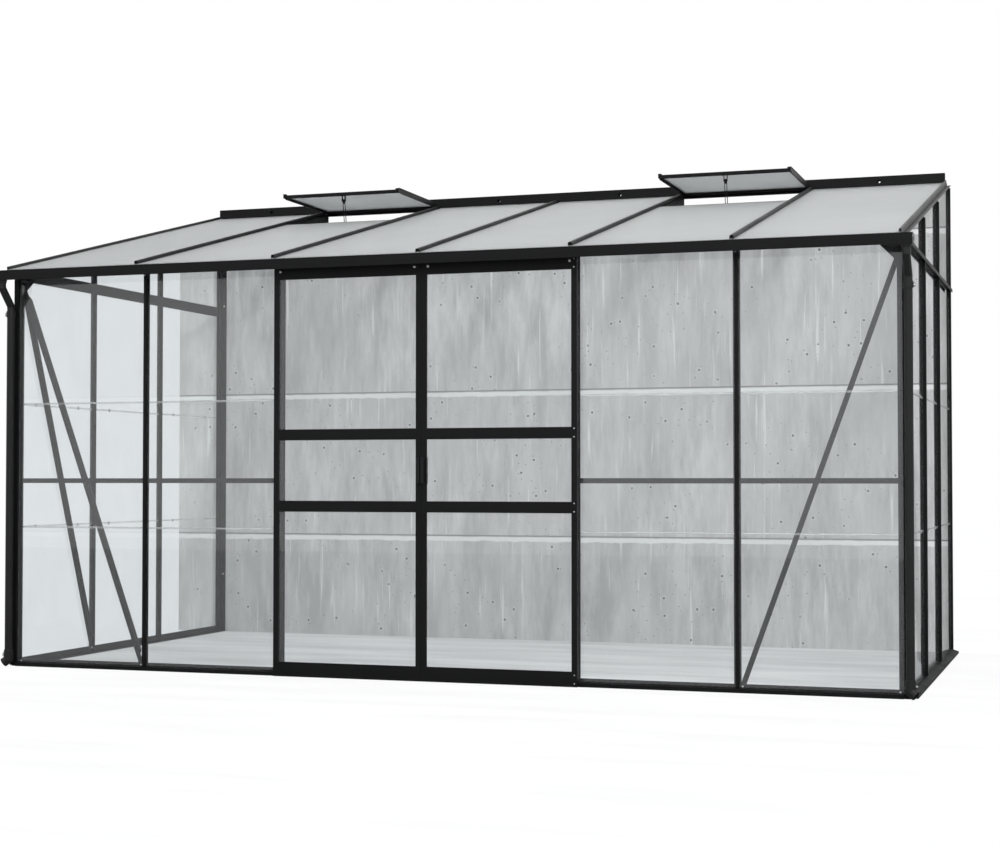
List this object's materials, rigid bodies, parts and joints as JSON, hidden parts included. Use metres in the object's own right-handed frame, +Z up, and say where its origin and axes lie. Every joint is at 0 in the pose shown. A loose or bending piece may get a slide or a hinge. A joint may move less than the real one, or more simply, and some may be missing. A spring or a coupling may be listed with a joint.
{
  "type": "lean-to greenhouse",
  "caption": "Aluminium lean-to greenhouse glazed between extruded bars, with sliding double doors under an eave gutter, opening roof vents on slotted stays and corner downpipes.",
  "frame": {"origin": "centre of the footprint on the ground, under the middle of the overall plan outline", "axes": "+X along the wall towards the viewer's right, -Y out of the front with the doors, +Y towards the house wall, +Z up"},
  "size_m": [3.8206, 1.986, 2.202],
  "materials": {
    "black_frame": "satin black powder coat on extruded aluminium",
    "inner_frame": "satin black powder coat on flat aluminium",
    "cap_strip": "black bar capping with a fine sheen",
    "wall_glass": "clear float glass",
    "roof_glass": "clear float glass",
    "clear_strip": "clear joining strip",
    "pipe_plastic": "moulded black rainwater plastic",
    "handle_plastic": "moulded black nylon",
    "nylon": "dark nylon",
    "fixing_steel": "bright plated fixings",
    "hanger_steel": "plated steel"
  },
  "bodies": {
    "frame": {"corner_gussets": "inner_frame", "door_guides": "nylon", "eave_gutter": "black_frame", "end_bar_caps": "cap_strip", "end_bars": "black_frame", "frame_bolts": "fixing_steel", "front_bar_caps": "cap_strip", "front_bars": "black_frame", "front_glass": "wall_glass", "front_sill": "black_frame", "gable_bars": "black_frame", "gutter_ends": "pipe_plastic", "left_corner_post": "black_frame", "left_downpipe": "pipe_plastic", "left_end_glass": "wall_glass", "left_end_rail": "black_frame", "left_end_sill": "black_frame", "left_pipe_fittings": "pipe_plastic", "left_vent_hook": "black_frame", "mid_rails": "inner_frame", "pane_strips": "clear_strip", "right_corner_post": "black_frame", "right_downpipe": "pipe_plastic", "right_end_glass": "wall_glass", "right_end_rail": "black_frame", "right_end_sill": "black_frame", "right_pipe_fittings": "pipe_plastic", "right_vent_hook": "black_frame", "roof_bar_caps": "cap_strip", "roof_bars": "black_frame", "roof_glass": "roof_glass", "vent_transoms": "black_frame", "wall_braces": "inner_frame", "wall_plate": "black_frame", "wall_posts": "black_frame"},
    "left_door": {"left_door_glass": "wall_glass", "left_door_handles": "handle_plastic", "left_door_hangers": "hanger_steel", "left_door_rails": "black_frame", "left_door_screws": "fixing_steel", "left_door_stiles": "black_frame"},
    "left_inner_wheel": {"left_inner_roller": "nylon"},
    "left_outer_wheel": {"left_outer_roller": "nylon"},
    "left_vent": {"left_vent_frame": "black_frame", "left_vent_front_rail": "black_frame", "left_vent_glass": "roof_glass"},
    "left_stay": {"left_vent_stay": "black_frame"},
    "right_door": {"right_door_glass": "wall_glass", "right_door_handles": "handle_plastic", "right_door_hangers": "hanger_steel", "right_door_rails": "black_frame", "right_door_screws": "fixing_steel", "right_door_stiles": "black_frame"},
    "right_inner_wheel": {"right_inner_roller": "nylon"},
    "right_outer_wheel": {"right_outer_roller": "nylon"},
    "right_vent": {"right_vent_frame": "black_frame", "right_vent_front_rail": "black_frame", "right_vent_glass": "roof_glass"},
    "right_stay": {"right_vent_stay": "black_frame"}
  },
  "joints": [
    {"name": "left_door_slide", "type": "slide", "parent": "frame", "child": "left_door", "axis": [-1, 0, 0], "range_m": [0, 0.56]},
    {"name": "left_inner_wheel_spin", "type": "hinge", "parent": "left_door", "child": "left_inner_wheel", "pos_m": [-0.0285, -0.9045, 1.6611], "axis": [0, 1, 0], "continuous": true},
    {"name": "left_outer_wheel_spin", "type": "hinge", "parent": "left_door", "child": "left_outer_wheel", "pos_m": [-0.608, -0.9045, 1.6611], "axis": [0, 1, 0], "continuous": true},
    {"name": "left_vent_hinge", "type": "hinge", "parent": "frame", "child": "left_vent", "pos_m": [-0.933, 0.9565, 2.16201], "axis": [-1, 0, 0], "range_deg": [-13.83, 14]},
    {"name": "left_stay_hinge", "type": "hinge", "parent": "left_vent", "child": "left_stay", "pos_m": [-0.933, 0.4675, 2.13915], "axis": [1, 0, 0], "range_deg": [-8.2, 8.2]},
    {"name": "right_door_slide", "type": "slide", "parent": "frame", "child": "right_door", "axis": [1, 0, 0], "range_m": [0, 0.56]},
    {"name": "right_inner_wheel_spin", "type": "hinge", "parent": "right_door", "child": "right_inner_wheel", "pos_m": [0.0285, -0.9045, 1.6611], "axis": [0, 1, 0], "continuous": true},
    {"name": "right_outer_wheel_spin", "type": "hinge", "parent": "right_door", "child": "right_outer_wheel", "pos_m": [0.608, -0.9045, 1.6611], "axis": [0, 1, 0], "continuous": true},
    {"name": "right_vent_hinge", "type": "hinge", "parent": "frame", "child": "right_vent", "pos_m": [0.933, 0.9565, 2.16201], "axis": [-1, 0, 0], "range_deg": [-13.83, 14]},
    {"name": "right_stay_hinge", "type": "hinge", "parent": "right_vent", "child": "right_stay", "pos_m": [0.933, 0.4675, 2.13915], "axis": [1, 0, 0], "range_deg": [-8.2, 8.2]}
  ],
  "couplings": [
    {"joint": "left_inner_wheel_spin", "follows": "left_door_slide", "rad_per_m": -153.85},
    {"joint": "left_outer_wheel_spin", "follows": "left_door_slide", "rad_per_m": -153.85},
    {"joint": "left_stay_hinge", "follows": "left_vent_hinge", "ratio": 0.55},
    {"joint": "right_inner_wheel_spin", "follows": "right_door_slide", "rad_per_m": 153.85},
    {"joint": "right_outer_wheel_spin", "follows": "right_door_slide", "rad_per_m": 153.85},
    {"joint": "right_stay_hinge", "follows": "right_vent_hinge", "ratio": 0.55}
  ]
}
